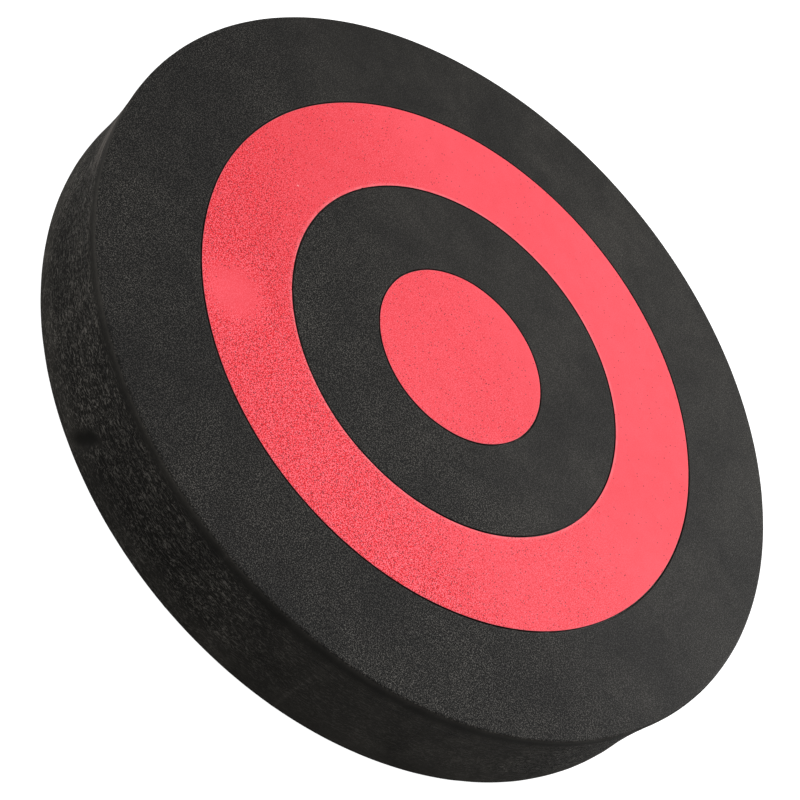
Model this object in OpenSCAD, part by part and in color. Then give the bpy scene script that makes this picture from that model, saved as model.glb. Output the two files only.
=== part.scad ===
// Balance pad: a thick round foam disc with a red and black ringed top.
//
// A black base slab carries a thinner top sheet made of four nested, die-cut
// foam pieces. An adhesive film holds the sheet to the slab, and a line of
// adhesive in each seam holds each piece to its neighbour. The outer wall is
// cut through slab and sheet in one stroke, so it runs on from one to the other.
//
// Origin: centre of the underside. +Z points up through the top face.
// Units: millimetres.

/* [Pad] */
// Outer diameter of the pad
pad_d = 400; // [350:1:450]
// Overall thickness of the pad
pad_h = 56; // [40:1:65]
// Radius of the top rim
rim_r = 1.5; // [0.5:0.1:4]
// Radius of the softer bottom rim
foot_r = 3.4; // [1:0.1:6]
// How much smaller the radius is at the bottom than at the top
foot_taper = 0.9; // [0:0.1:3]
// Radius of the hollow that the side wall is cut to
wall_r = 300; // [150:10:900]

/* [Top sheet] */
// Thickness of the ringed top sheet
sheet_h = 12; // [8:0.5:20]
// Outer diameter of the red centre disc
centre_d = 98; // [70:0.5:110]
// Outer diameter of the inner black ring
inner_ring_d = 195; // [150:0.5:210]
// Outer diameter of the red ring
red_ring_d = 294; // [250:0.5:310]
// Bevel on the top edges where two pieces meet
edge_break = 0.4; // [0.2:0.1:1]

/* [Adhesive] */
// Thickness of the adhesive film under the top sheet
film_t = 0.3; // [0.2:0.1:0.6]
// Width of the adhesive line in each seam of the top sheet
seam_t = 0.3; // [0.2:0.1:0.6]
// How far each adhesive line stays below the top face
seam_drop = 1; // [0.5:0.1:3]

/* [Hidden] */

$fn = 180;
rim_steps = 10;   // chords in a quarter turn of a rim
wall_steps = 14;  // chords over the height of the wall

black_foam = "#2e2d2b";
red_foam = "#f05a68";
adhesive = "#6b6a62";

pad_r = pad_d / 2;
sheet_z = pad_h - sheet_h;      // underside of the top sheet
slab_top = sheet_z - film_t;    // top of the base slab

// Centres of the two rims. The wall is a hollow arc that meets both of them in
// a smooth line, so its own centre lies wall_r + rim_r from the one and
// wall_r + foot_r from the other.
rim_x = pad_r - rim_r;
rim_z = pad_h - rim_r;
foot_x = pad_r - foot_taper - foot_r;
foot_z = foot_r;
apart_x = foot_x - rim_x;
apart_z = foot_z - rim_z;
apart = norm([apart_x, apart_z]);
to_rim = wall_r + rim_r;
to_foot = wall_r + foot_r;
along = (pow(to_rim, 2) - pow(to_foot, 2) + pow(apart, 2)) / (2 * apart);
aside = sqrt(pow(to_rim, 2) - pow(along, 2));
wall_x = rim_x + (along * apart_x - aside * apart_z) / apart;
wall_z = rim_z + (along * apart_z + aside * apart_x) / apart;
rim_lean = atan2(wall_z - rim_z, wall_x - rim_x);
foot_lean = atan2(wall_z - foot_z, wall_x - foot_x);

// Points of an arc about (x, z), from angle a0 to angle a1
function arc(x, z, r, a0, a1, steps) = [
    for (i = [0:steps])
        let (a = a0 + (a1 - a0) * i / steps)
        [x + r * cos(a), z + r * sin(a)]
];

// Half section of the whole pad, from the axis out to the wall
module pad_section() {
    polygon(concat(
        [[0, 0]],
        arc(foot_x, foot_z, foot_r, -90, foot_lean, rim_steps),
        arc(wall_x, wall_z, wall_r, 180 + foot_lean, 180 + rim_lean, wall_steps),
        arc(rim_x, rim_z, rim_r, rim_lean, 90, rim_steps),
        [[0, pad_h]]
    ));
}

// One level of the pad, between two heights, cut to the outer wall
module pad_layer(z0, z1) {
    rotate_extrude()
        intersection() {
            pad_section();
            translate([0, z0])
                square([pad_r, z1 - z0]);
        }
}

// Half section of a top-sheet piece, bevelled along both top edges
module ring_section(r0, r1) {
    polygon([
        [r0, sheet_z], [r1, sheet_z], [r1, pad_h - edge_break],
        [r1 - edge_break, pad_h], [r0 + edge_break, pad_h], [r0, pad_h - edge_break]
    ]);
}

// A ring of the top sheet between two seams
module inlaid_ring(seam_in_d, seam_out_d) {
    rotate_extrude()
        ring_section((seam_in_d + seam_t) / 2, (seam_out_d - seam_t) / 2);
}

// The adhesive line of one seam
module seam_glue(seam_d) {
    translate([0, 0, sheet_z])
        rotate_extrude()
            translate([(seam_d - seam_t) / 2, 0])
                square([seam_t, sheet_h - seam_drop]);
}

// Thick lower foam slab that takes the load
module base_slab() {
    color(black_foam)
        pad_layer(0, slab_top);
}

// Adhesive film between the slab and the top sheet
module adhesive_film() {
    color(adhesive)
        pad_layer(slab_top, sheet_z);
}

// Black border of the top, which shares the slab's wall
module outer_black_ring() {
    color(black_foam)
        rotate_extrude()
            intersection() {
                pad_section();
                ring_section((red_ring_d + seam_t) / 2, pad_r + rim_r);
            }
}

module red_ring() {
    color(red_foam)
        inlaid_ring(inner_ring_d, red_ring_d);
}

module inner_black_ring() {
    color(black_foam)
        inlaid_ring(centre_d, inner_ring_d);
}

// Round red piece at the middle of the top
module red_centre_disc() {
    disc_r = (centre_d - seam_t) / 2;
    color(red_foam)
        rotate_extrude()
            polygon([
                [0, sheet_z], [disc_r, sheet_z], [disc_r, pad_h - edge_break],
                [disc_r - edge_break, pad_h], [0, pad_h]
            ]);
}

module outer_seam_glue() {
    color(adhesive)
        seam_glue(red_ring_d);
}

module middle_seam_glue() {
    color(adhesive)
        seam_glue(inner_ring_d);
}

module centre_seam_glue() {
    color(adhesive)
        seam_glue(centre_d);
}

base_slab();
adhesive_film();
outer_black_ring();
red_ring();
inner_black_ring();
red_centre_disc();
outer_seam_glue();
middle_seam_glue();
centre_seam_glue();
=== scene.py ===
"""Builds the foam balance pad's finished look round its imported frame: its foam pieces and their adhesive."""

import math

import bmesh
import bpy
import numpy as np
from bpy.props import FloatProperty, FloatVectorProperty, IntProperty, PointerProperty
from mathutils import Matrix, Vector, noise


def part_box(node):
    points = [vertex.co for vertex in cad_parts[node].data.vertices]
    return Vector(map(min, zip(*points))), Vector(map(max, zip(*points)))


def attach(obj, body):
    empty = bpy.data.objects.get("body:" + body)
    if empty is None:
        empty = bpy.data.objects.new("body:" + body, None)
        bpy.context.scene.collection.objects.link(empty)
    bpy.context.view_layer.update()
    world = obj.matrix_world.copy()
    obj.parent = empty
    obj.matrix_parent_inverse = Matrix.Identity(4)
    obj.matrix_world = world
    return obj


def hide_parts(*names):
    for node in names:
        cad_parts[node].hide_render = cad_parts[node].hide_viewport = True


bl_info = {
    "name": "Foam Balance Pad",
    "version": (1, 0, 0),
    "blender": (4, 5, 0),
    "location": "View3D > Sidebar > Balance Pad",
    "description": "Makes a ringed foam balance pad, its foam and adhesive materials and a plain studio",
    "category": "Add Mesh",
}

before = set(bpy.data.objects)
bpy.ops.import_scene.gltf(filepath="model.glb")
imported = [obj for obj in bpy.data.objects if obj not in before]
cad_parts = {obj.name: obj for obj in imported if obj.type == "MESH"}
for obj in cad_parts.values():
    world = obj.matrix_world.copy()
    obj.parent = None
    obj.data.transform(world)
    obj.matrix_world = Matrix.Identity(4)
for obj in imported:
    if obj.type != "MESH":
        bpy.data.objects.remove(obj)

MM = 0.001
PAD_BODY = "root"
ON_AXIS = 1e-6  # vertices closer to the axis than this, in metres, are joined


def outer_radius(node):
    """Half the width of a round node of the frame."""
    low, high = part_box(node)
    return (high.x - low.x) / 2


PAD_RADIUS = outer_radius("outer_black_ring")
PAD_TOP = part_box("outer_black_ring")[1].z
SHEET_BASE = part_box("outer_black_ring")[0].z
SLAB_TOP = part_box("base_slab")[1].z
SEAM_WIDTH = outer_radius("outer_seam_glue") - outer_radius("red_ring")

# Spacing of mesh rows: on the top, up the wall, on seam sides, under the sheet and out of sight
FACE_STEP = 1.6 * MM
WALL_STEP = 0.36 * MM
SEAM_SIDE_STEP = 2 * MM
GLUE_STEP = 3 * MM
SLAB_FOOT_STEP = 8 * MM
UNDERSIDE_STEP = 12 * MM
HIDDEN_STEP = 50 * MM
WALL_TURN_SHARE = 0.9  # mesh columns of the wall pieces, as a share of the sheet pieces'
EDGE_STEPS = 6  # chords in the rounded edge of a seam
CUT_CORNER = 0.2 * MM  # small rounding where slab and sheet meet in the wall

# The die-cut wall
WALL_STREAK = 3.4  # how much longer than high the wall's grain is
WALL_GAIN = 2.1  # how much paler the cut foam is than its skin
RIDGE_LENGTH = 9 * MM
RIDGE_SWAY = 0.9 * MM
QUIET_ANGLE, QUIET_SPREAD = math.radians(-58), math.radians(27)  # the stretch with the weakest streaks

# The top face: a smooth patch of red skin, and how far grain and open cells reach from the near side
SMOOTH_PATCH = (-87.5 * MM, -95.2 * MM, PAD_TOP)
FADE_DIRECTION = (0.35, 0.94, 0.0)
GRAIN_FADE = {"Full Until": -90 * MM, "Gone At": 60 * MM}
PIT_FADE = {"Full Until": -120 * MM, "Gone At": 80 * MM}

# Colours that wear, dust, shadow and painted highlight give the foam
BLACK_PIT = (0.002, 0.002, 0.0018, 1.0)
BLACK_WORN = (0.045, 0.043, 0.040, 1.0)
BLACK_RIM_HIGHLIGHT = (0.19, 0.168, 0.150, 1.0)
BLACK_DUST = (0.22, 0.215, 0.20, 1.0)
RED_WORN = (1.0, 0.24, 0.27, 1.0)
RED_DUST = (0.9, 0.6, 0.6, 1.0)
ADHESIVE_PALE = (0.06, 0.055, 0.045, 1.0)
WHITE = (1.0, 1.0, 1.0, 1.0)

# Starting numbers of each piece's own noise
WALL_SEED = 53
SWAY_SEED = 61
RIDGE_SEED = 67
STRENGTH_SEED = 71
FILM_SEED = 83
FACE_SEEDS = {"outer_black_ring": 23, "red_ring": 31, "inner_black_ring": 37, "red_centre_disc": 43}

# Softboxes: name, place, width and the studio setting that holds the power
SOFTBOXES = (
    ("overhead_softbox", (0.25, 0.35, 1.6), 1.2, "overhead_power"),
    ("far_softbox", (0.85, 1.15, 0.85), 0.8, "far_power"),
    ("fill_softbox", (-1.5, -0.3, 0.6), 0.8, "fill_power"),
)
FLOOR_RADIUS = 14
SENSOR_WIDTH = 36  # millimetres


# ---------------------------------------------------------------- settings


class PadShapeSettings(bpy.types.PropertyGroup):
    """Sizes of the foam's visible form."""

    rim_radius: FloatProperty(
        name="Rim Radius", description="Radius of the top rim",
        default=1.5 * MM, min=0.5 * MM, max=4 * MM, subtype="DISTANCE", unit="LENGTH", precision=5,
    )
    foot_radius: FloatProperty(
        name="Foot Radius", description="Radius of the softer bottom rim",
        default=3.4 * MM, min=1 * MM, max=6 * MM, subtype="DISTANCE", unit="LENGTH", precision=5,
    )
    foot_taper: FloatProperty(
        name="Foot Taper", description="How much smaller the radius is at the bottom than at the top",
        default=0.9 * MM, min=0, max=3 * MM, subtype="DISTANCE", unit="LENGTH", precision=5,
    )
    wall_radius: FloatProperty(
        name="Wall Radius", description="Radius of the hollow that the side wall is cut to",
        default=300 * MM, min=150 * MM, max=900 * MM, subtype="DISTANCE", unit="LENGTH", precision=5,
    )
    seam_gap: FloatProperty(
        name="Seam Gap", description="Width of the open groove between two pieces of the top sheet",
        default=0.7 * MM, min=0.3 * MM, max=1 * MM, subtype="DISTANCE", unit="LENGTH", precision=5,
    )
    seam_radius: FloatProperty(
        name="Seam Edge Radius", description="Radius of the top edges that meet at a seam",
        default=0.3 * MM, min=0.2 * MM, max=1.5 * MM, subtype="DISTANCE", unit="LENGTH", precision=5,
    )
    seam_wander: FloatProperty(
        name="Seam Wander", description="How far a die-cut seam strays from a true circle",
        default=0.14 * MM, min=0, max=0.5 * MM, subtype="DISTANCE", unit="LENGTH", precision=5,
    )
    ridge_depth: FloatProperty(
        name="Ridge Depth", description="Depth of the fine ridges that the die leaves round the wall",
        default=0.18 * MM, min=0, max=0.4 * MM, subtype="DISTANCE", unit="LENGTH", precision=5,
    )
    ridge_pitch: FloatProperty(
        name="Ridge Pitch", description="Spacing of the ridges up the wall",
        default=1.9 * MM, min=0.8 * MM, max=4 * MM, subtype="DISTANCE", unit="LENGTH", precision=5,
    )
    swell_depth: FloatProperty(
        name="Swell Depth", description="Height of the slow unevenness of the foam faces",
        default=0.16 * MM, min=0, max=1 * MM, subtype="DISTANCE", unit="LENGTH", precision=5,
    )
    turn_steps: IntProperty(
        name="Turn Steps", description="Mesh columns round the pad", default=600, min=120, max=1200,
    )


class FoamFinishSettings(bpy.types.PropertyGroup):
    """Colours and texture sizes of the materials."""

    black_colour: FloatVectorProperty(
        name="Black Foam", description="Base colour of the black foam",
        default=(0.0012, 0.0010, 0.0006), size=3, min=0, max=1, subtype="COLOR",
    )
    black_fleck_colour: FloatVectorProperty(
        name="Black Foam Fleck", description="Colour of the pale flecks in the black foam's grain",
        default=(0.0635, 0.0590, 0.0520), size=3, min=0, max=1, subtype="COLOR",
    )
    red_colour: FloatVectorProperty(
        name="Red Foam", description="Base colour of the red foam",
        default=(0.80, 0.010, 0.018), size=3, min=0, max=1, subtype="COLOR",
    )
    # Partly the red foam's pale grain, partly painted glints lifted towards white.
    red_fleck_and_glint_colour: FloatVectorProperty(
        name="Red Foam Fleck", description="Colour of the pale flecks in the red foam's grain",
        default=(0.93, 0.160, 0.203), size=3, min=0, max=1, subtype="COLOR",
    )
    red_pit_colour: FloatVectorProperty(
        name="Red Foam Pit", description="Colour at the bottom of the red foam's open cells",
        default=(0.16, 0.002, 0.006), size=3, min=0, max=1, subtype="COLOR",
    )
    adhesive_colour: FloatVectorProperty(
        name="Adhesive", description="Colour of the dried contact adhesive",
        default=(0.010, 0.009, 0.008), size=3, min=0, max=1, subtype="COLOR",
    )
    grain_size: FloatProperty(
        name="Grain Size", description="Size of one bump of the foam skin, in millimetres",
        default=0.56, min=0.3, max=3,
    )
    worm_length: FloatProperty(
        name="Worm Length", description="Length of one curling crest on the cut wall, in millimetres",
        default=4.0, min=1, max=12,
    )
    worm_pitch: FloatProperty(
        name="Worm Pitch", description="Spacing of the curling crests up the cut wall, in millimetres",
        default=1.0, min=0.5, max=5,
    )
    cloud_size: FloatProperty(
        name="Cloud Size", description="Size of the slow changes of tone, in millimetres",
        default=44, min=5, max=200,
    )


class StudioSettings(bpy.types.PropertyGroup):
    """Camera, lights and floor."""

    camera_aim: FloatVectorProperty(
        name="Camera Aim", description="Point that the camera looks at",
        default=(-0.0013, -0.0543, 0.056), size=3, subtype="XYZ", unit="LENGTH", precision=4,
    )
    camera_distance: FloatProperty(
        name="Camera Distance", description="From the camera to its aim",
        default=1.0304, min=0.3, subtype="DISTANCE", unit="LENGTH",
    )
    camera_elevation: FloatProperty(
        name="Camera Elevation", description="Height of the camera above the horizon",
        default=math.radians(41.59), subtype="ANGLE", unit="ROTATION",
    )
    camera_roll: FloatProperty(
        name="Camera Roll", description="Turn of the picture about the line of sight",
        default=math.radians(50.67), subtype="ANGLE", unit="ROTATION",
    )
    camera_lens: FloatProperty(
        name="Camera Lens", description="Focal length in millimetres, on a 36 mm sensor",
        default=99, min=20, max=300,
    )
    floor_colour: FloatVectorProperty(
        name="Floor", description="Colour of the plain studio floor",
        default=(0.35, 0.35, 0.35), size=3, min=0, max=1, subtype="COLOR",
    )
    floor_glow: FloatProperty(
        name="Floor Glow", description="Brightness of the lit table under the pad, as the camera sees it",
        default=1.0, min=0,
    )
    overhead_power: FloatProperty(
        name="Overhead Light", description="Power of the large softbox over the pad, in watts",
        default=11, min=0,
    )
    far_power: FloatProperty(
        name="Far Light", description="Power of the softbox on the far right, in watts", default=17, min=0,
    )
    fill_power: FloatProperty(
        name="Fill Light", description="Power of the weak softbox on the near left, in watts",
        default=11, min=0,
    )
    sky_strength: FloatProperty(
        name="Room Brightness", description="Brightness of the white room round the pad",
        default=0.37, min=0,
    )


def settings(context):
    return context.scene.balance_pad_shape


def finish_settings(context):
    return context.scene.balance_pad_finish


# ---------------------------------------------------------------- half sections


def arc(centre, radius, start, end, steps):
    """Points of an arc as (radius, height) pairs; angles in degrees."""
    angles = np.radians(np.linspace(start, end, steps + 1))
    return [(centre[0] + radius * math.cos(a), centre[1] + radius * math.sin(a)) for a in angles]


def run(start, end, step):
    """Points of a straight line between two corners, both left out."""
    count = max(1, round(math.dist(start, end) / step))
    return [
        (start[0] + (end[0] - start[0]) * i / count, start[1] + (end[1] - start[1]) * i / count)
        for i in range(1, count)
    ]


class WallForm:
    """The hollow wall arc and the two rims that it runs into, in a half section of the pad."""

    def __init__(self, shape):
        self.rim, self.foot, self.radius = shape.rim_radius, shape.foot_radius, shape.wall_radius
        self.rim_at = Vector((PAD_RADIUS - self.rim, PAD_TOP - self.rim))
        self.foot_at = Vector((PAD_RADIUS - shape.foot_taper - self.foot, self.foot))
        apart = self.foot_at - self.rim_at
        to_rim, to_foot = self.radius + self.rim, self.radius + self.foot
        along = (to_rim ** 2 - to_foot ** 2 + apart.length_squared) / (2 * apart.length)
        aside = math.sqrt(to_rim ** 2 - along ** 2)
        down = apart.normalized()
        self.centre = self.rim_at + along * down + aside * Vector((-down.y, down.x))
        self.rim_lean = self.lean(self.rim_at)
        self.foot_lean = self.lean(self.foot_at)

    def lean(self, rim_at):
        """Angle, in degrees, at which the wall leaves a rim."""
        toward = self.centre - rim_at
        return math.degrees(math.atan2(toward.y, toward.x))

    def at(self, height):
        """Radius of the wall at a height between the two rims."""
        return self.centre.x - math.sqrt(self.radius ** 2 - (height - self.centre.y) ** 2)

    def climb(self, low, high, step):
        """Wall points from one height up to another, both included."""
        count = max(2, round((high - low) / step))
        return [(self.at(z), z) for z in np.linspace(low, high, count + 1)]

    def bottom_rim(self, steps):
        return arc(self.foot_at, self.foot, -90, self.foot_lean, steps)

    def top_rim(self, steps):
        return arc(self.rim_at, self.rim, self.rim_lean, 90, steps)

    @property
    def low(self):
        return self.foot_at.y + self.foot * math.sin(math.radians(self.foot_lean))

    @property
    def high(self):
        return self.rim_at.y + self.rim * math.sin(math.radians(self.rim_lean))


# ---------------------------------------------------------------- marks and unevenness


class Mark:
    """One local mark in the wall: a dent where depth is positive, a raised line where it is negative."""

    def __init__(self, angle, height, width, tall, depth, slant=0):
        self.angle, self.height = math.radians(angle), height
        self.width, self.tall, self.depth, self.slant = width, tall, depth, slant

    def inward(self, angles, heights):
        across = (np.angle(np.exp(1j * (angles - self.angle)))) * PAD_RADIUS
        up = heights - self.height
        across = across - self.slant * up
        return self.depth * np.exp(-((across / self.width) ** 2) - (up / self.tall) ** 4)


# Angle, height, width, tallness and depth of each mark
WALL_MARKS = (
    Mark(-112.6, 13 * MM, 4.6 * MM, 9 * MM, 1.1 * MM, slant=0.35),
    Mark(-111.4, 17 * MM, 2.0 * MM, 8 * MM, 0.6 * MM, slant=0.45),
    Mark(-97.5, 31 * MM, 0.7 * MM, 0.8 * MM, 0.5 * MM),
    Mark(-89.0, 28 * MM, 0.8 * MM, 40 * MM, -0.13 * MM),
    Mark(-70.3, 24 * MM, 0.9 * MM, 34 * MM, -0.08 * MM),
    Mark(-93.0, 12 * MM, 5.0 * MM, 8 * MM, 0.35 * MM, slant=-0.3),
    Mark(-40.0, 26 * MM, 4.0 * MM, 30 * MM, 0.2 * MM),
    Mark(58.0, 33 * MM, 3.2 * MM, 9 * MM, 0.5 * MM, slant=0.4),
    Mark(131.0, 21 * MM, 1.2 * MM, 1.4 * MM, 0.5 * MM),
    Mark(174.0, 30 * MM, 0.8 * MM, 38 * MM, -0.1 * MM),
)

# Painted highlight: pale streaks in the upper wall: first and last angle, height, half height, strength
RIM_HIGHLIGHTS = (
    (-176, -152, 44.0 * MM, 11.0 * MM, 0.30),
    (-170, -149, 40.0 * MM, 1.5 * MM, 0.58),
    (-163, -148, 45.6 * MM, 1.1 * MM, 0.68),
    (-158, -151, 42.6 * MM, 0.8 * MM, 0.45),
    (104, 117, 49.0 * MM, 1.6 * MM, 0.4),
    (-12, -4, 46.5 * MM, 1.2 * MM, 0.3),
)

# Clouds of tone in each kind of foam: reach, seed and depth
FOAM_CLOUDS = {
    "black_foam": (80 * MM, 5, 0.25),
    "red_foam": (80 * MM, 9, 0.1),
    "adhesive": (80 * MM, 1, 0.0),
}

# Painted sheen and shade: paler and darker places on the top: angle, radius, reach and how much paler
SHEEN_AND_SHADE_PATCHES = {
    "black_foam": (
        (-139, 173 * MM, 60 * MM, -0.10),
        (-107, 176 * MM, 60 * MM, -0.12),
        (115, 175 * MM, 60 * MM, 0.12),
        (80, 178 * MM, 60 * MM, 0.04),
        (-45, 178 * MM, 60 * MM, 0.10),
        (160, 80 * MM, 40 * MM, 0.05),
        (-44, 80 * MM, 40 * MM, 0.05),
    ),
    "red_foam": (
        (-168, 132 * MM, 70 * MM, -0.20),
        (160, 136 * MM, 50 * MM, -0.04),
        (-132, 135 * MM, 25 * MM, 0.08),
        (-97, 125 * MM, 60 * MM, 0.08),
        (84, 135 * MM, 80 * MM, 0.06),
        (-42, 128 * MM, 80 * MM, 0.10),
    ),
    "adhesive": (),
}

WALL_FINE = (-97.5, -89.0, -70.3, 131.0, 174.0)  # angles of narrow marks, where the mesh is closer
DIE_JOINTS = (92.6, 165.6)  # angles of the two joints in the cutting rule
NOTCH_DEPTH, NOTCH_WIDTH = 0.75 * MM, 0.55 * MM
SEAM_SEEDS = {"centre": 3.0, "middle": 17.0, "outer": 41.0}

# How far each seam's centre lies off the pad's axis
SEAM_OFFSETS = {
    "centre": (1.1 * MM, 1.5 * MM),
    "middle": (0.85 * MM, 0.8 * MM),
    "outer": (0.15 * MM, 1.5 * MM),
}


def field(points, reach, seed, squeeze=1):
    """Smooth noise from -1 to 1 at every point, with bumps about reach across."""
    scale = Vector((1 / reach, 1 / reach, squeeze / reach))
    shift = Vector((seed, seed * 0.37, seed * 0.71))
    places = (Vector(p) * scale + shift for p in points)
    return np.array([noise.noise(place, noise_basis="PERLIN_ORIGINAL") for place in places])


def turn_angles(count, fine=(), reach=1.2, step=0.12):
    """Angles of one turn, in radians, at a closer step within reach of the places in fine (degrees)."""
    angles = set(np.round(np.linspace(-180, 180, count, endpoint=False), 4))
    for place in fine:
        near = np.arange(-reach, reach + step / 2, step)
        angles = {a for a in angles if abs((a - place + 180) % 360 - 180) > reach + step / 2}
        angles |= {round((place + d + 180) % 360 - 180, 4) for d in near}
    return np.radians(sorted(angles))


def wall_angles(shape):
    """Angles of the pieces that meet in the wall, which share their columns."""
    return turn_angles(round(shape.turn_steps * WALL_TURN_SHARE), fine=WALL_FINE, reach=0.8, step=0.2)


# ---------------------------------------------------------------- mesh of a round piece


def section_normals(section, closed):
    """Outward unit normals of a half section that runs anticlockwise."""
    points = np.array(section)
    if closed:
        ahead, behind = np.roll(points, -1, 0), np.roll(points, 1, 0)
    else:
        ahead = np.vstack([points[1:], points[-1:]])
        behind = np.vstack([points[:1], points[:-1]])
    along = ahead - behind
    normals = np.column_stack([along[:, 1], -along[:, 0]])
    return normals / np.linalg.norm(normals, axis=1, keepdims=True)


def section_bend(section, normals):
    """How sharply the half section bends at each point, from 0 on a flat to 1 on a tight edge."""
    points = np.array(section)
    turned = np.linalg.norm(np.diff(normals, axis=0), axis=1)
    apart = np.linalg.norm(np.diff(points, axis=0), axis=1)
    curve = np.append(turned / np.maximum(apart, 0.05 * MM), 0)
    return np.clip(curve * 2 * MM, 0, 1)


class RoundPiece:
    """A closed solid swept round the Z axis from a half section, whose vertices can be pushed about."""

    def __init__(self, section, angles, closed):
        self.closed = closed
        self.angles = angles
        flat = np.array(section)
        normals = section_normals(section, closed)
        self.bend = section_bend(section, normals)
        rows, columns = len(flat), len(angles)
        self.shape = (rows, columns)
        self.radius = np.repeat(flat[:, :1], columns, axis=1)
        self.height = np.repeat(flat[:, 1:], columns, axis=1)
        self.normal_out = np.repeat(normals[:, :1], columns, axis=1)
        self.normal_up = np.repeat(normals[:, 1:], columns, axis=1)
        self.angle = np.repeat(angles[None, :], rows, axis=0)

    def points(self):
        """Every vertex of the sweep, row by row."""
        x = self.radius * np.cos(self.angle)
        y = self.radius * np.sin(self.angle)
        return np.column_stack([x.ravel(), y.ravel(), self.height.ravel()])

    def push(self, distance):
        """Moves the surface out along its normals; distance has one value per vertex."""
        distance = distance.reshape(self.shape)
        self.radius = self.radius + distance * self.normal_out
        self.height = self.height + distance * self.normal_up

    def on_top(self):
        """One on the level top of the piece, zero on its sides and underside."""
        return np.clip(self.normal_up.ravel() * 2 - 1, 0, 1)

    def faces(self):
        """Four-cornered faces between the rows, by vertex number."""
        rows, columns = self.shape
        last = rows if self.closed else rows - 1
        return [
            (
                i * columns + j,
                i * columns + (j + 1) % columns,
                (i + 1) % rows * columns + (j + 1) % columns,
                (i + 1) % rows * columns + j,
            )
            for i in range(last)
            for j in range(columns)
        ]

    def mesh(self, name, slot):
        """The finished mesh, with masks for tone, wear, stains, painted sheen, painted highlights and painted
        shade; rows on the axis close to one vertex.
        """
        mesh = bpy.data.meshes.new(name)
        mesh.from_pydata(self.points().tolist(), [], self.faces())
        masks = {
            "slow_tone": slow_tone(self.points(), slot),
            "edge_wear": np.repeat(self.bend[:, None], len(self.angles), axis=1),
            "wall_streaks": wall_roughness(self.angle, self.height),
            "wall_tone": wall_tone(self.angle, self.height),
            "rim_rub": rim_rub(self.angle, self.height),
            "seam_stain": seam_stain(self.normal_out, self.radius),
        }
        for label, mask in masks.items():
            mesh.attributes.new(label, "FLOAT", "POINT").data.foreach_set("value", mask.ravel())
        form = bmesh.new()
        form.from_mesh(mesh)
        on_axis = [v for v in form.verts if math.hypot(v.co.x, v.co.y) < ON_AXIS]
        bmesh.ops.remove_doubles(form, verts=on_axis, dist=10 * ON_AXIS)
        bmesh.ops.recalc_face_normals(form, faces=form.faces)
        form.to_mesh(mesh)
        form.free()
        mesh.shade_smooth()
        return mesh


# ---------------------------------------------------------------- node trees


class NodeBench:
    """Places nodes in one tree, column by column, and links them."""

    def __init__(self, tree):
        self.tree = tree
        self.column = 0

    def add(self, kind, inputs=None, **options):
        node = self.tree.nodes.new(kind)
        node.location = (self.column * 190, -(self.column % 3) * 160)
        self.column += 1
        for option, value in options.items():
            setattr(node, option, value)
        for key, value in (inputs or {}).items():
            if isinstance(value, bpy.types.NodeSocket):
                self.tree.links.new(value, node.inputs[key])
            else:
                node.inputs[key].default_value = value
        return node

    def group(self, tree, inputs):
        """A node group with its own values: its outputs."""
        return self.add("ShaderNodeGroup", inputs, node_tree=tree).outputs

    def math(self, operation, first, second=0.0):
        """Works out a plain value from one or two others."""
        return self.add("ShaderNodeMath", {0: first, 1: second}, operation=operation).outputs[0]

    def mask(self, name):
        """A mask that the mesh carries."""
        return self.add("ShaderNodeAttribute", attribute_name=name).outputs["Fac"]

    def place(self):
        """Where the point lies in the pad's own frame."""
        return self.add("ShaderNodeTexCoord").outputs["Object"]

    def stretched_place(self, squeeze):
        """The same, with heights multiplied, so that noise comes out flatter than it is long."""
        factors = self.add("ShaderNodeCombineXYZ", {0: 1.0, 1: 1.0, 2: squeeze}).outputs[0]
        inputs = {0: self.place(), 1: factors}
        return self.add("ShaderNodeVectorMath", inputs, operation="MULTIPLY").outputs[0]

    def mix(self, factor, first, second, blend="MIX"):
        """Mixes two colours."""
        inputs = {0: factor, 6: first, 7: second}
        return self.add("ShaderNodeMix", inputs, data_type="RGBA", blend_type=blend).outputs[2]

    def blend(self, factor, first, second):
        """Mixes two plain values."""
        return self.add("ShaderNodeMix", {0: factor, 2: first, 3: second}, data_type="FLOAT").outputs[0]

    def ramp(self, value, low, high, start=0.0, end=1.0):
        """Turns a value into a smooth step from start at low to end at high."""
        inputs = {"Value": value, "From Min": low, "From Max": high, "To Min": start, "To Max": end}
        return self.add("ShaderNodeMapRange", inputs, interpolation_type="SMOOTHSTEP").outputs["Result"]

    def finish(self, output, value):
        """Sends a value to one socket of the group's output node."""
        self.tree.links.new(value, output)


def group_bench(name, inputs, outputs):
    """A new node group with named sockets: its bench, its inputs and its output node."""
    group = bpy.data.node_groups.new(name, "ShaderNodeTree")
    for label, default in inputs:
        socket = group.interface.new_socket(name=label, in_out="INPUT", socket_type="NodeSocketFloat")
        socket.default_value = default
    for label in outputs:
        group.interface.new_socket(name=label, in_out="OUTPUT", socket_type="NodeSocketFloat")
    bench = NodeBench(group)
    return bench, bench.add("NodeGroupInput").outputs, bench.add("NodeGroupOutput")


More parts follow.
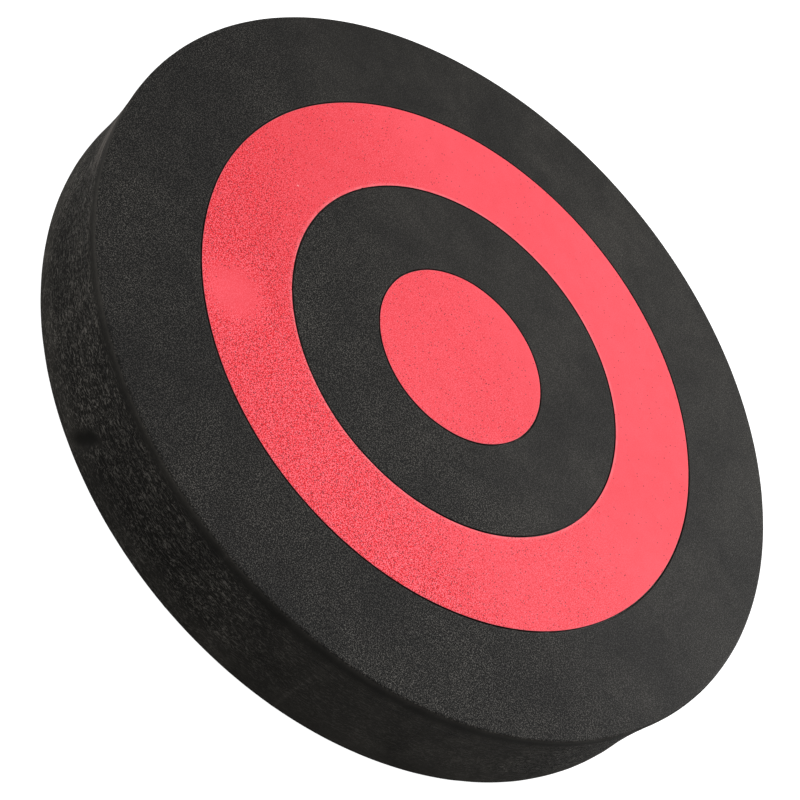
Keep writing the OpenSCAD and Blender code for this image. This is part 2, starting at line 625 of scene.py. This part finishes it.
def foam_grain_group():
    """Fine wormy grain of closed-cell foam, with pale flecks and open pits."""
    name = "Foam Grain"
    if name in bpy.data.node_groups:
        return bpy.data.node_groups[name]
    bench, given, out = group_bench(
        name,
        [("Grain Size", 1.0), ("Squeeze", 1.0), ("Curl", 0.5), ("Pit Share", 0.3)],
        ["Height", "Flecks", "Pits"],
    )
    placed = bench.stretched_place(given["Squeeze"])
    per_metre = bench.math("DIVIDE", 1.0 / MM, given["Grain Size"])
    pebbles = bench.add(
        "ShaderNodeTexNoise",
        {"Vector": placed, "Scale": per_metre, "Detail": 1.0, "Roughness": 0.5, "Distortion": given["Curl"]},
    ).outputs["Fac"]
    pores_per_metre = bench.math("MULTIPLY", per_metre, 0.5)
    pores = bench.add("ShaderNodeTexVoronoi", {"Vector": placed, "Scale": pores_per_metre})
    chance = bench.add("ShaderNodeSeparateColor", {0: pores.outputs["Color"]}).outputs[0]
    open_cell = bench.math("LESS_THAN", chance, given["Pit Share"])
    pit = bench.math("MULTIPLY", open_cell, bench.ramp(pores.outputs["Distance"], 0.32, 0.2, 0.0, 0.85))
    crevice = bench.math("MULTIPLY", bench.ramp(pebbles, 0.42, 0.31, 0.0, 0.75), given["Pit Share"])
    bench.finish(out.inputs["Height"], pebbles)
    bench.finish(out.inputs["Flecks"], bench.ramp(pebbles, 0.535, 0.625))
    bench.finish(out.inputs["Pits"], bench.math("MAXIMUM", pit, crevice))
    return bench.tree


def worm_group():
    """Short curling crests that the die leaves in cut foam, lying round the wall."""
    name = "Die Worms"
    if name in bpy.data.node_groups:
        return bpy.data.node_groups[name]
    bench, given, out = group_bench(name, [("Length", 4.0), ("Squeeze", 3.0), ("Curl", 0.9)], ["Crest"])
    placed = bench.stretched_place(given["Squeeze"])
    per_metre = bench.math("DIVIDE", 1.0 / MM, given["Length"])
    rolls = bench.add(
        "ShaderNodeTexNoise",
        {"Vector": placed, "Scale": per_metre, "Detail": 1.0, "Roughness": 0.55, "Distortion": given["Curl"]},
    ).outputs["Fac"]
    from_crest = bench.math("ABSOLUTE", bench.math("SUBTRACT", rolls, 0.5))
    bench.finish(out.inputs["Crest"], bench.ramp(from_crest, 0.05, 0.012))
    return bench.tree


def cloudy_tone_group():
    """Slow changes of tone over a surface, as a factor near one."""
    name = "Cloudy Tone"
    if name in bpy.data.node_groups:
        return bpy.data.node_groups[name]
    bench, given, out = group_bench(name, [("Cloud Size", 30.0), ("Contrast", 0.2)], ["Tone"])
    per_metre = bench.math("DIVIDE", 1.0 / MM, given["Cloud Size"])
    clouds = bench.add(
        "ShaderNodeTexNoise",
        {"Vector": bench.place(), "Scale": per_metre, "Detail": 5.0, "Roughness": 0.6, "Distortion": 0.4},
    ).outputs["Fac"]
    swing = bench.math("MULTIPLY", bench.ramp(clouds, 0.3, 0.7, -1.0, 1.0), given["Contrast"])
    bench.finish(out.inputs["Tone"], bench.math("ADD", swing, 1.0))
    return bench.tree


def near_side_group():
    """Mask that is one on the near side of the pad and falls away towards the far side."""
    name = "Near Side"
    if name in bpy.data.node_groups:
        return bpy.data.node_groups[name]
    bench, given, out = group_bench(name, [("Full Until", -0.1), ("Gone At", 0.1)], ["Mask"])
    inputs = {0: bench.place(), 1: FADE_DIRECTION}
    reach = bench.add("ShaderNodeVectorMath", inputs, operation="DOT_PRODUCT").outputs["Value"]
    bench.finish(out.inputs["Mask"], bench.ramp(reach, given["Full Until"], given["Gone At"], 1.0, 0.0))
    return bench.tree


def edge_wear_group():
    """Rubbed patches along the edges that the mesh marks, broken up by noise."""
    name = "Edge Wear"
    if name in bpy.data.node_groups:
        return bpy.data.node_groups[name]
    bench, given, out = group_bench(name, [("Amount", 0.5)], ["Mask"])
    breaks = bench.add(
        "ShaderNodeTexNoise", {"Vector": bench.place(), "Scale": 160.0, "Detail": 4.0, "Roughness": 0.65}
    ).outputs["Fac"]
    wear_and_highlight = bench.math("MULTIPLY", bench.mask("edge_wear"), bench.ramp(breaks, 0.35, 0.65, 0.35, 1.0))
    bench.finish(out.inputs["Mask"], bench.math("MULTIPLY", wear_and_highlight, given["Amount"]))
    return bench.tree


def dust_group():
    """Sparse pale specks of dust and lint."""
    name = "Dust"
    if name in bpy.data.node_groups:
        return bpy.data.node_groups[name]
    bench, given, out = group_bench(name, [("Spacing", 9.0), ("Share", 0.2)], ["Mask"])
    per_metre = bench.math("DIVIDE", 1.0 / MM, given["Spacing"])
    specks = bench.add("ShaderNodeTexVoronoi", {"Vector": bench.place(), "Scale": per_metre})
    chance = bench.add("ShaderNodeSeparateColor", {0: specks.outputs["Color"]}).outputs[1]
    lying = bench.math("LESS_THAN", chance, given["Share"])
    dot = bench.ramp(specks.outputs["Distance"], 0.05, 0.02)
    bench.finish(out.inputs["Mask"], bench.math("MULTIPLY", lying, dot))
    return bench.tree


# ---------------------------------------------------------------- materials


def new_material(name):
    """A node material with only its output: the material and a bench for its tree."""
    material = bpy.data.materials.new(name)
    material.use_nodes = True
    material.node_tree.nodes.clear()
    return material, NodeBench(material.node_tree)


def finish_shader(bench, inputs):
    shader = bench.add("ShaderNodeBsdfPrincipled", inputs)
    bench.add("ShaderNodeOutputMaterial", {"Surface": shader.outputs["BSDF"]})
    return shader


def with_alpha(colour):
    return (*colour, 1.0)


def black_foam_material(finish):
    """Black closed-cell foam: pebbled skin on the faces, streaky die-cut grain on the wall."""
    name = "Black Foam"
    if name in bpy.data.materials:
        return bpy.data.materials[name]
    material, bench = new_material(name)
    normal = bench.add("ShaderNodeNewGeometry").outputs["Normal"]
    upright = bench.add("ShaderNodeSeparateXYZ", {0: normal}).outputs["Z"]
    skin = bench.ramp(bench.math("ABSOLUTE", upright), 0.3, 0.85)
    face_grain = bench.group(foam_grain_group(), {
        "Grain Size": finish.grain_size, "Squeeze": 1.0, "Curl": 0.6, "Pit Share": 0.35,
    })
    wall_grain = bench.group(foam_grain_group(), {
        "Grain Size": finish.grain_size * WALL_STREAK, "Squeeze": WALL_STREAK, "Curl": 1.4, "Pit Share": 0.6,
    })
    worms = bench.group(worm_group(), {
        "Length": finish.worm_length, "Squeeze": finish.worm_length / finish.worm_pitch, "Curl": 0.9,
    })["Crest"]
    streaks = bench.mask("wall_streaks")
    crests = bench.math("MULTIPLY", worms, bench.ramp(wall_grain["Height"], 0.3, 0.5, 0.55, 1.0))
    wall_flecks = bench.math("ADD", bench.math("MULTIPLY", crests, 1.5), 0.04)
    # Painted shade: the wall's flecks are darkened in a band under the rim and in dents, and made paler on
    # raised creases.
    wall_flecks = bench.math("MULTIPLY", bench.blend(streaks, 0.26, wall_flecks), bench.mask("wall_tone"))
    height = bench.blend(skin, bench.math("MULTIPLY", crests, streaks), face_grain["Height"])
    near = bench.group(near_side_group(), GRAIN_FADE)["Mask"]
    face_flecks = bench.blend(bench.ramp(near, 0.0, 1.0, 0.4, 1.0), 0.285, face_grain["Flecks"])
    flecks = bench.blend(skin, wall_flecks, face_flecks)
    face_pits = bench.math("MULTIPLY", face_grain["Pits"], bench.ramp(near, 0.0, 1.0, 0.3, 1.0))
    wall_pits = bench.math("MULTIPLY", wall_grain["Pits"], bench.math("MULTIPLY", streaks, 0.5))
    pits = bench.blend(skin, wall_pits, face_pits)
    clouds = bench.group(cloudy_tone_group(), {"Cloud Size": finish.cloud_size, "Contrast": 0.34})["Tone"]
    mottle = bench.group(cloudy_tone_group(), {"Cloud Size": finish.cloud_size / 5, "Contrast": 0.12})["Tone"]
    # Cloudy tone of the foam, with painted sheen and shade on the top faces.
    broad_tone_and_sheen = bench.math("MULTIPLY", clouds, bench.blend(skin, WALL_GAIN, bench.mask("slow_tone")))
    worn = bench.group(edge_wear_group(), {"Amount": 0.12})["Mask"]
    # Painted highlight: pale streaks along the upper wall under the rim.
    wear_and_highlight = bench.math("MULTIPLY", bench.mask("rim_rub"), 0.9)
    dusty = bench.group(dust_group(), {"Spacing": 11.0, "Share": 0.06})["Mask"]

    colour = bench.mix(flecks, with_alpha(finish.black_colour), with_alpha(finish.black_fleck_colour))
    colour = bench.mix(bench.math("MULTIPLY", pits, 0.9), colour, BLACK_PIT)
    colour = bench.mix(1.0, colour, bench.math("MULTIPLY", broad_tone_and_sheen, mottle), "MULTIPLY")
    colour = bench.mix(worn, colour, BLACK_WORN)
    colour = bench.mix(wear_and_highlight, colour, BLACK_RIM_HIGHLIGHT)
    # Adhesive stain and painted shade on the upright seam sides, in the adhesive's colour.
    colour = bench.mix(bench.mask("seam_stain"), colour, with_alpha(finish.adhesive_colour))
    colour = bench.mix(bench.math("MULTIPLY", dusty, 0.35), colour, BLACK_DUST)
    relief = bench.math("SUBTRACT", height, bench.math("MULTIPLY", pits, 0.4))
    strength = bench.blend(skin, 1.0, bench.ramp(near, 0.0, 1.0, 0.45, 1.0))
    bump = bench.add("ShaderNodeBump", {"Strength": strength, "Distance": 0.30 * MM, "Height": relief})
    roughness = bench.ramp(height, 0.3, 0.7, 0.80, 0.58)
    finish_shader(bench, {
        "Base Color": colour, "Roughness": roughness, "Normal": bump.outputs["Normal"],
        "IOR": 1.45, "Specular IOR Level": 0.24,
    })
    return material


def red_foam_material(finish):
    """Red closed-cell foam sheet: bright skin, speckled with dark open cells towards the near side."""
    name = "Red Foam"
    if name in bpy.data.materials:
        return bpy.data.materials[name]
    material, bench = new_material(name)
    near = bench.group(near_side_group(), PIT_FADE)["Mask"]
    inputs = {0: bench.place(), 1: SMOOTH_PATCH}
    from_patch = bench.add("ShaderNodeVectorMath", inputs, operation="DISTANCE").outputs["Value"]

    share = bench.math(
        "MULTIPLY", bench.ramp(near, 0.6, 1.0, 0.17, 0.85), bench.ramp(near, 0.0, 0.3, 0.25, 1.0)
    )
    share = bench.math("MULTIPLY", share, bench.ramp(from_patch, 8 * MM, 24 * MM))
    grain = bench.group(foam_grain_group(), {
        "Grain Size": finish.grain_size, "Squeeze": 1.0, "Curl": 0.6, "Pit Share": share,
    })
    worn = bench.group(edge_wear_group(), {"Amount": 0.6})["Mask"]
    dusty = bench.group(dust_group(), {"Spacing": 13.0, "Share": 0.06})["Mask"]

    speckled = bench.math(
        "MULTIPLY", bench.ramp(near, 0.6, 1.0, 0.45, 1.0), bench.ramp(near, 0.0, 0.3, 0.15, 1.0)
    )
    speckled = bench.math("MULTIPLY", speckled, bench.ramp(from_patch, 6 * MM, 22 * MM, 0.25, 1.0))
    # Pale flecks of the red grain, partly painted glints lifted towards white.
    flecks = bench.blend(speckled, 0.50, bench.ramp(grain["Height"], 0.475, 0.575))
    colour = bench.mix(flecks, with_alpha(finish.red_colour), with_alpha(finish.red_fleck_and_glint_colour))
    mottle = bench.group(cloudy_tone_group(), {"Cloud Size": finish.cloud_size / 4, "Contrast": 0.05})["Tone"]
    # Tone of the red foam, with painted sheen and shade on its top faces.
    tone = bench.math("MULTIPLY", bench.mask("slow_tone"), mottle)
    tint = bench.add("ShaderNodeCombineColor", {0: bench.blend(0.4, 1.0, tone), 1: tone, 2: tone}).outputs[0]
    colour = bench.mix(1.0, colour, tint, "MULTIPLY")
    colour = bench.mix(worn, colour, RED_WORN)
    colour = bench.mix(grain["Pits"], colour, with_alpha(finish.red_pit_colour))
    # Adhesive stain and painted shade on the upright seam sides, in the adhesive's colour.
    colour = bench.mix(bench.mask("seam_stain"), colour, with_alpha(finish.adhesive_colour))
    colour = bench.mix(bench.math("MULTIPLY", dusty, 0.5), colour, RED_DUST)
    relief = bench.math("SUBTRACT", grain["Height"], bench.math("MULTIPLY", grain["Pits"], 0.8))
    bump = bench.add("ShaderNodeBump", {"Strength": 0.3, "Distance": 0.25 * MM, "Height": relief})
    roughness = bench.ramp(grain["Height"], 0.1, 0.5, 0.75, 0.6)
    finish_shader(bench, {
        "Base Color": colour, "Roughness": roughness, "Normal": bump.outputs["Normal"],
        "IOR": 1.45, "Specular IOR Level": 0.18,
    })
    return material


def adhesive_material(finish):
    """Dried contact adhesive: dark, a little shiny, drawn into fine strings."""
    name = "Dried Adhesive"
    if name in bpy.data.materials:
        return bpy.data.materials[name]
    material, bench = new_material(name)
    grain = bench.group(foam_grain_group(), {"Grain Size": 0.7, "Squeeze": 0.5, "Curl": 0.5, "Pit Share": 0.3})
    tone = bench.group(cloudy_tone_group(), {"Cloud Size": 6.0, "Contrast": 0.3})["Tone"]
    colour = bench.mix(1.0, with_alpha(finish.adhesive_colour), tone, "MULTIPLY")
    colour = bench.mix(bench.math("MULTIPLY", grain["Flecks"], 0.3), colour, ADHESIVE_PALE)
    bump = bench.add("ShaderNodeBump", {"Strength": 0.5, "Distance": 0.15 * MM, "Height": grain["Height"]})
    finish_shader(bench, {
        "Base Color": colour, "Roughness": bench.ramp(grain["Height"], 0.1, 0.5, 0.6, 0.4),
        "Normal": bump.outputs["Normal"], "IOR": 1.47,
    })
    return material


def floor_material(studio):
    """Plain pale lit table: it glows to the camera, and throws little light back at the pad."""
    name = "Studio Floor"
    if name in bpy.data.materials:
        return bpy.data.materials[name]
    material, bench = new_material(name)
    seen = bench.add("ShaderNodeLightPath").outputs["Is Camera Ray"]
    finish_shader(bench, {
        "Base Color": with_alpha(studio.floor_colour), "Roughness": 0.9, "Specular IOR Level": 0.1,
        "Emission Color": WHITE, "Emission Strength": bench.math("MULTIPLY", seen, studio.floor_glow),
    })
    return material


# ---------------------------------------------------------------- unevenness of the foam


def seam_wander(angles, side, depth):
    """How far a seam strays from its true circle about the pad's axis, at each angle."""
    spots = np.column_stack([np.cos(angles), np.sin(angles), np.zeros(len(angles))])
    across, along = SEAM_OFFSETS[side]
    return across * np.cos(angles) + along * np.sin(angles) + depth * field(spots, 0.3, SEAM_SEEDS[side])


def swell(points, seed):
    """Slow unevenness of a foam face, about one unit high."""
    return 0.7 * field(points, 62 * MM, seed) + 0.3 * field(points, 17 * MM, seed + 5)


def wall_relief(piece, shape):
    """Ridges, slow waves and marks of the die-cut wall, as a push along its normals."""
    points = piece.points()
    on_wall = np.clip(np.abs(piece.normal_out.ravel()) * 1.6 - 0.6, 0, 1)
    warped = points.copy()
    warped[:, 2] += RIDGE_SWAY * field(points, 24 * MM, SWAY_SEED)
    ridges = field(warped, RIDGE_LENGTH, RIDGE_SEED, squeeze=RIDGE_LENGTH / shape.ridge_pitch)
    strength = np.clip(0.8 + 0.6 * field(points, 70 * MM, STRENGTH_SEED), 0.3, 1)
    strength = strength * wall_roughness(piece.angle, piece.height).ravel()
    waves = swell(points, WALL_SEED)
    marks = sum(m.inward(piece.angle, piece.height) for m in WALL_MARKS).ravel()
    return on_wall * (shape.ridge_depth * ridges * strength + shape.swell_depth * waves - marks)


def slow_tone(points, slot):
    """Slow change of tone over a sheet of foam, with painted sheen and shade in the listed patches, as a
    factor near one.
    """
    reach, seed, depth = FOAM_CLOUDS[slot]
    total = 1 + depth * field(points, reach, seed)
    flat = np.asarray(points)[:, :2]
    for angle, radius, reach, paler in SHEEN_AND_SHADE_PATCHES[slot]:
        turned = math.radians(angle)
        middle = radius * np.array([math.cos(turned), math.sin(turned)])
        apart = np.linalg.norm(flat - middle, axis=1)
        total += paler * np.exp(-((apart / reach) ** 2))
    return total


def rim_rub(angles, heights):
    """Where a painted highlight makes the wall pale along its top rim."""
    turned = np.degrees(angles)
    total = np.zeros(angles.shape)
    for first, last, height, half, strength in RIM_HIGHLIGHTS:
        middle, reach = (first + last) / 2, (last - first) / 2
        total += strength * np.exp(-(((turned - middle) / reach) ** 4) - ((heights - height) / half) ** 2)
    on_wall = np.clip((PAD_TOP - 1 * MM - heights) / (2 * MM), 0, 1)
    return np.clip(total, 0, 1) * on_wall


def seam_stain(normal_out, radii):
    """Where adhesive stain and painted shade darken the upright sides of the seams; the outer wall is clean.
    """
    return np.clip(np.abs(normal_out) * 2.2 - 1, 0, 1) * (radii < PAD_RADIUS * 0.9)


def wall_roughness(angles, heights):
    """How strong the wall's streaks are: weak close to the rims, in dents and on one stretch of the wall."""
    apart = np.angle(np.exp(1j * (angles - QUIET_ANGLE)))
    along = 1 - 0.8 * np.exp(-((apart / QUIET_SPREAD) ** 4))
    dented = sum(np.maximum(mark.inward(angles, heights), 0) for mark in WALL_MARKS)
    along = along * (1 - np.clip(dented / MM, 0, 1))
    below_rim = np.clip((PAD_TOP - 3 * MM - heights) / (6 * MM), 0.1, 1)
    above_foot = np.clip((heights - 3 * MM) / (14 * MM), 0.4, 1)
    return along * below_rim * above_foot


def wall_tone(angles, heights):
    """How pale the wall's foam is: painted shade darkens a band under the rim and the dents, and raised
    creases are paler.
    """
    below = (PAD_TOP - 4.5 * MM - heights) / (3.2 * MM)
    marked = sum(mark.inward(angles, heights) for mark in WALL_MARKS)
    dented = np.clip(marked / MM, 0, 1)
    raised = np.clip(-marked / (0.12 * MM), 0, 1)
    return (1 - 0.6 * np.exp(-(below ** 2))) * (1 - 0.85 * dented) * (1 + 0.6 * raised)


def shift_seam(piece, radius, wander, notches=None, reach=14 * MM):
    """Moves the part of a piece next to a seam with the seam, and cuts the die's notches in it."""
    near = np.clip(1 - np.abs(piece.radius - radius) / reach, 0, 1)
    piece.radius = piece.radius + near * wander[None, :]
    if notches is not None:
        close = np.exp(-np.abs(piece.radius - radius) / (0.8 * MM))
        piece.radius = piece.radius + close * notches[None, :]


def die_notches(angles, radius):
    """Small notches that the joint of the cutting rule leaves in a seam edge."""
    across = [np.angle(np.exp(1j * (angles - math.radians(a)))) * radius for a in DIE_JOINTS]
    return NOTCH_DEPTH * sum(np.exp(-((s / NOTCH_WIDTH) ** 2)) for s in across)


# ---------------------------------------------------------------- pieces


def place_piece(context, solid, name, material, slot, node):
    """Puts a finished solid in the scene in place of its node of the frame."""
    mesh = solid.mesh(name, slot)
    mesh.materials.append(material)
    piece = bpy.data.objects.new(name, mesh)
    context.collection.objects.link(piece)
    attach(piece, PAD_BODY)
    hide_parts(node)
    return piece


def sheet_piece(context, inner, outer, seed, sides, notched):
    """One inlaid piece of the top sheet, between two seam radii; inner is zero for the centre disc."""
    shape = settings(context)
    extra = (shape.seam_gap - SEAM_WIDTH) / 2
    inner, outer = inner and inner + extra, outer - extra
    edge, low, top = shape.seam_radius, SHEET_BASE, PAD_TOP
    section = [(outer, low)] + run((outer, low), (outer, top - edge), SEAM_SIDE_STEP)
    section += arc((outer - edge, top - edge), edge, 0, 90, EDGE_STEPS)
    if inner > 0:
        section += run((outer - edge, top), (inner + edge, top), FACE_STEP)
        section += arc((inner + edge, top - edge), edge, 90, 180, EDGE_STEPS)
        section += run((inner, top - edge), (inner, low), SEAM_SIDE_STEP) + [(inner, low)]
        section += run((inner, low), (outer, low), UNDERSIDE_STEP)
    else:
        section += run((outer - edge, top), (0, top), FACE_STEP) + [(0, top)]
        section = [(0, low)] + run((0, low), (outer, low), UNDERSIDE_STEP) + section
    angles = turn_angles(shape.turn_steps, fine=DIE_JOINTS)
    piece = RoundPiece(section, angles, closed=inner > 0)
    piece.push(piece.on_top() * shape.swell_depth * swell(piece.points(), seed))
    for radius, side in zip((inner, outer), sides):
        if radius > 0:
            notches = die_notches(angles, radius) if notched and radius == inner else None
            shift_seam(piece, radius, seam_wander(angles, side, shape.seam_wander), notches)
    return piece


def seam_adhesive(context, node, side):
    """The adhesive in one seam: a thin upright ring with an uneven top edge."""
    shape = settings(context)
    low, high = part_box(node)
    extra = (shape.seam_gap - SEAM_WIDTH) / 2
    outer = outer_radius(node) + extra
    inner = outer - shape.seam_gap
    section = [(inner, low.z), (outer, low.z)] + run((outer, low.z), (outer, high.z), GLUE_STEP)
    section += [(outer, high.z), ((inner + outer) / 2, high.z + 0.05 * MM), (inner, high.z)]
    section += run((inner, high.z), (inner, low.z), GLUE_STEP)
    angles = turn_angles(shape.turn_steps)
    piece = RoundPiece(section, angles, closed=True)
    crest = (piece.height > high.z - 0.01 * MM).ravel()
    beads = crest * 0.3 * MM * field(piece.points(), 5 * MM, SEAM_SEEDS[side] + 9)
    piece.height += beads.reshape(piece.shape)
    shift_seam(piece, (inner + outer) / 2, seam_wander(angles, side, shape.seam_wander), reach=1.0)
    return piece


class BALANCE_PAD_OT_base_slab(bpy.types.Operator):
    """Make the thick black base slab with its die-cut wall and softened lower rim"""

    bl_idname = "balance_pad.base_slab"
    bl_label = "Base Slab"
    bl_options = {"REGISTER", "UNDO"}

    def execute(self, context):
        shape = settings(context)
        wall = WallForm(shape)
        corner = CUT_CORNER
        lip = wall.at(SLAB_TOP - corner)
        section = [(0, 0)] + run((0, 0), (wall.foot_at.x, 0), SLAB_FOOT_STEP) + wall.bottom_rim(9)
        section += wall.climb(wall.low, SLAB_TOP - corner, WALL_STEP)[1:]
        section += arc((lip - corner, SLAB_TOP - corner), corner, 0, 90, 3)[1:]
        section += run((lip - corner, SLAB_TOP), (0, SLAB_TOP), HIDDEN_STEP) + [(0, SLAB_TOP)]
        angles = wall_angles(shape)
        piece = RoundPiece(section, angles, closed=False)
        piece.push(wall_relief(piece, shape))
        black = black_foam_material(finish_settings(context))
        slab = place_piece(context, piece, "slab_foam", black, "black_foam", "base_slab")
        return {"FINISHED"}


class BALANCE_PAD_OT_outer_ring(bpy.types.Operator):
    """Make the black border ring, which carries the upper rim and the top of the wall"""

    bl_idname = "balance_pad.outer_ring"
    bl_label = "Outer Black Ring"
    bl_options = {"REGISTER", "UNDO"}

    def execute(self, context):
        shape = settings(context)
        wall = WallForm(shape)
        corner, edge = CUT_CORNER, shape.seam_radius
        inner = outer_radius("outer_seam_glue") + (shape.seam_gap - SEAM_WIDTH) / 2
        lip = wall.at(SHEET_BASE + corner)
        section = arc((lip - corner, SHEET_BASE + corner), corner, -90, 0, 3)[:-1]
        section += wall.climb(SHEET_BASE + corner, wall.high, WALL_STEP)[:-1] + wall.top_rim(10)
        section += run((wall.rim_at.x, PAD_TOP), (inner + edge, PAD_TOP), FACE_STEP)
        section += arc((inner + edge, PAD_TOP - edge), edge, 90, 180, EDGE_STEPS)
        section += run((inner, PAD_TOP - edge), (inner, SHEET_BASE), SEAM_SIDE_STEP) + [(inner, SHEET_BASE)]
        section += run((inner, SHEET_BASE), (lip - corner, SHEET_BASE), UNDERSIDE_STEP)
        angles = wall_angles(shape)
        piece = RoundPiece(section, angles, closed=True)
        unevenness = swell(piece.points(), FACE_SEEDS["outer_black_ring"])
        relief = wall_relief(piece, shape) + piece.on_top() * shape.swell_depth * unevenness
        piece.push(np.where(piece.normal_out.ravel() < -0.5, 0, relief))
        shift_seam(piece, inner, seam_wander(angles, "outer", shape.seam_wander))
        black = black_foam_material(finish_settings(context))
        ring = place_piece(context, piece, "outer_ring_foam", black, "black_foam", "outer_black_ring")
        return {"FINISHED"}


class BALANCE_PAD_OT_inlays(bpy.types.Operator):
    """Make the three inlaid pieces inside the border: red ring, inner black ring and red centre disc"""

    bl_idname = "balance_pad.inlays"
    bl_label = "Inlaid Rings and Disc"
    bl_options = {"REGISTER", "UNDO"}

    def execute(self, context):
        finish = finish_settings(context)
        materials = {"red_foam": red_foam_material(finish), "black_foam": black_foam_material(finish)}
        inlays = (
            ("red_ring_foam", "red_ring", "red_foam", ("middle", "outer"), True),
            ("inner_ring_foam", "inner_black_ring", "black_foam", ("centre", "middle"), False),
            ("centre_disc_foam", "red_centre_disc", "red_foam", ("centre", "centre"), False),
        )
        for name, node, slot, sides, notched in inlays:
            inner = 0 if node == "red_centre_disc" else outer_radius(f"{sides[0]}_seam_glue")
            piece = sheet_piece(context, inner, outer_radius(node), FACE_SEEDS[node], sides, notched)
            made = place_piece(context, piece, name, materials[slot], slot, node)
        return {"FINISHED"}


class BALANCE_PAD_OT_adhesive(bpy.types.Operator):
    """Make the adhesive film under the top sheet and the adhesive in its three seams"""

    bl_idname = "balance_pad.adhesive"
    bl_label = "Adhesive"
    bl_options = {"REGISTER", "UNDO"}

    def execute(self, context):
        shape = settings(context)
        wall = WallForm(shape)
        material = adhesive_material(finish_settings(context))
        edge = wall.at(SLAB_TOP) - 0.1 * MM
        section = [(0, SLAB_TOP)] + run((0, SLAB_TOP), (edge, SLAB_TOP), HIDDEN_STEP)
        section += [(edge, SLAB_TOP), (edge + 0.04 * MM, (SLAB_TOP + SHEET_BASE) / 2), (edge, SHEET_BASE)]
        section += run((edge, SHEET_BASE), (0, SHEET_BASE), HIDDEN_STEP) + [(0, SHEET_BASE)]
        angles = wall_angles(shape)
        film = RoundPiece(section, angles, closed=False)
        at_edge = np.clip((film.radius.ravel() - edge) / (0.01 * MM) + 1, 0, 1)
        ragged = 0.05 * MM * field(film.points(), 4 * MM, FILM_SEED)
        film.push(at_edge * (wall_relief(film, shape) + ragged))
        place_piece(context, film, "film_adhesive", material, "adhesive", "adhesive_film")
        for side in SEAM_SEEDS:
            node = f"{side}_seam_glue"
            line = seam_adhesive(context, node, side)
            place_piece(context, line, f"{side}_seam_adhesive", material, "adhesive", node)
        return {"FINISHED"}


# ---------------------------------------------------------------- studio


def softbox(context, name, place, width, power):
    """A square area light that faces the pad and stays out of the camera's sight."""
    light = bpy.data.lights.new(name, "AREA")
    light.energy, light.size = power, width
    lamp = bpy.data.objects.new(name, light)
    context.collection.objects.link(lamp)
    lamp.location = place
    lamp.rotation_euler = (-Vector(place)).to_track_quat("-Z", "Y").to_euler()
    lamp.visible_camera = False


def white_room(studio):
    """World that lights the pad softly and shows as plain white behind it."""
    world = bpy.data.worlds.new("white_room")
    world.use_nodes = True
    world.node_tree.nodes.clear()
    bench = NodeBench(world.node_tree)
    seen = bench.add("ShaderNodeLightPath").outputs["Is Camera Ray"]
    strength = bench.blend(seen, studio.sky_strength, 1.0)
    room = bench.add("ShaderNodeBackground", {"Color": WHITE, "Strength": strength})
    bench.add("ShaderNodeOutputWorld", {"Surface": room.outputs["Background"]})
    return world


class BALANCE_PAD_OT_stage(bpy.types.Operator):
    """Set up the plain floor, the white room, the soft lights and the camera"""

    bl_idname = "balance_pad.stage"
    bl_label = "Studio"
    bl_options = {"REGISTER", "UNDO"}

    def execute(self, context):
        studio = context.scene.balance_pad_studio
        bpy.ops.mesh.primitive_circle_add(vertices=96, radius=FLOOR_RADIUS, fill_type="NGON")
        floor = context.object
        floor.name = "studio_floor"
        floor.data.materials.append(floor_material(studio))

        context.scene.world = white_room(studio)

        for name, place, width, power in SOFTBOXES:
            softbox(context, name, place, width, getattr(studio, power))

        camera = bpy.data.objects.new("camera", bpy.data.cameras.new("camera"))
        context.collection.objects.link(camera)
        camera.data.lens = studio.camera_lens
        camera.data.sensor_width = SENSOR_WIDTH
        back = Vector((0, -math.cos(studio.camera_elevation), math.sin(studio.camera_elevation)))
        turn = back.to_track_quat("Z", "Y").to_matrix() @ Matrix.Rotation(studio.camera_roll, 3, "Z")
        camera.location = Vector(studio.camera_aim) + back * studio.camera_distance
        camera.rotation_euler = turn.to_euler()
        context.scene.camera = camera
        context.scene.view_settings.view_transform = "Standard"
        return {"FINISHED"}


# ---------------------------------------------------------------- panel and registration


class VIEW3D_PT_balance_pad(bpy.types.Panel):
    """Sidebar panel that lists the pad's operators and settings"""

    bl_label = "Balance Pad"
    bl_idname = "VIEW3D_PT_balance_pad"
    bl_space_type = "VIEW_3D"
    bl_region_type = "UI"
    bl_category = "Balance Pad"

    def draw(self, context):
        layout = self.layout
        for operator in OPERATORS:
            layout.operator(operator.bl_idname)
        for title, group in (
            ("Shape", context.scene.balance_pad_shape),
            ("Finish", context.scene.balance_pad_finish),
            ("Studio", context.scene.balance_pad_studio),
        ):
            box = layout.box()
            box.label(text=title)
            for prop in group.bl_rna.properties:
                if not prop.is_readonly and prop.identifier != "name":
                    box.prop(group, prop.identifier)


SETTING_GROUPS = {
    "balance_pad_shape": PadShapeSettings,
    "balance_pad_finish": FoamFinishSettings,
    "balance_pad_studio": StudioSettings,
}
OPERATORS = (
    BALANCE_PAD_OT_stage,
    BALANCE_PAD_OT_base_slab,
    BALANCE_PAD_OT_outer_ring,
    BALANCE_PAD_OT_inlays,
    BALANCE_PAD_OT_adhesive,
)
CLASSES = (*SETTING_GROUPS.values(), *OPERATORS, VIEW3D_PT_balance_pad)


def register():
    for cls in CLASSES:
        bpy.utils.register_class(cls)
    for name, group in SETTING_GROUPS.items():
        setattr(bpy.types.Scene, name, PointerProperty(type=group))


def unregister():
    for name in SETTING_GROUPS:
        delattr(bpy.types.Scene, name)
    for cls in reversed(CLASSES):
        bpy.utils.unregister_class(cls)


def main():
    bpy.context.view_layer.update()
    register()
    bpy.ops.balance_pad.stage()
    bpy.ops.balance_pad.base_slab()
    bpy.ops.balance_pad.outer_ring()
    bpy.ops.balance_pad.inlays()
    bpy.ops.balance_pad.adhesive()


if __name__ == "__main__":
    main()
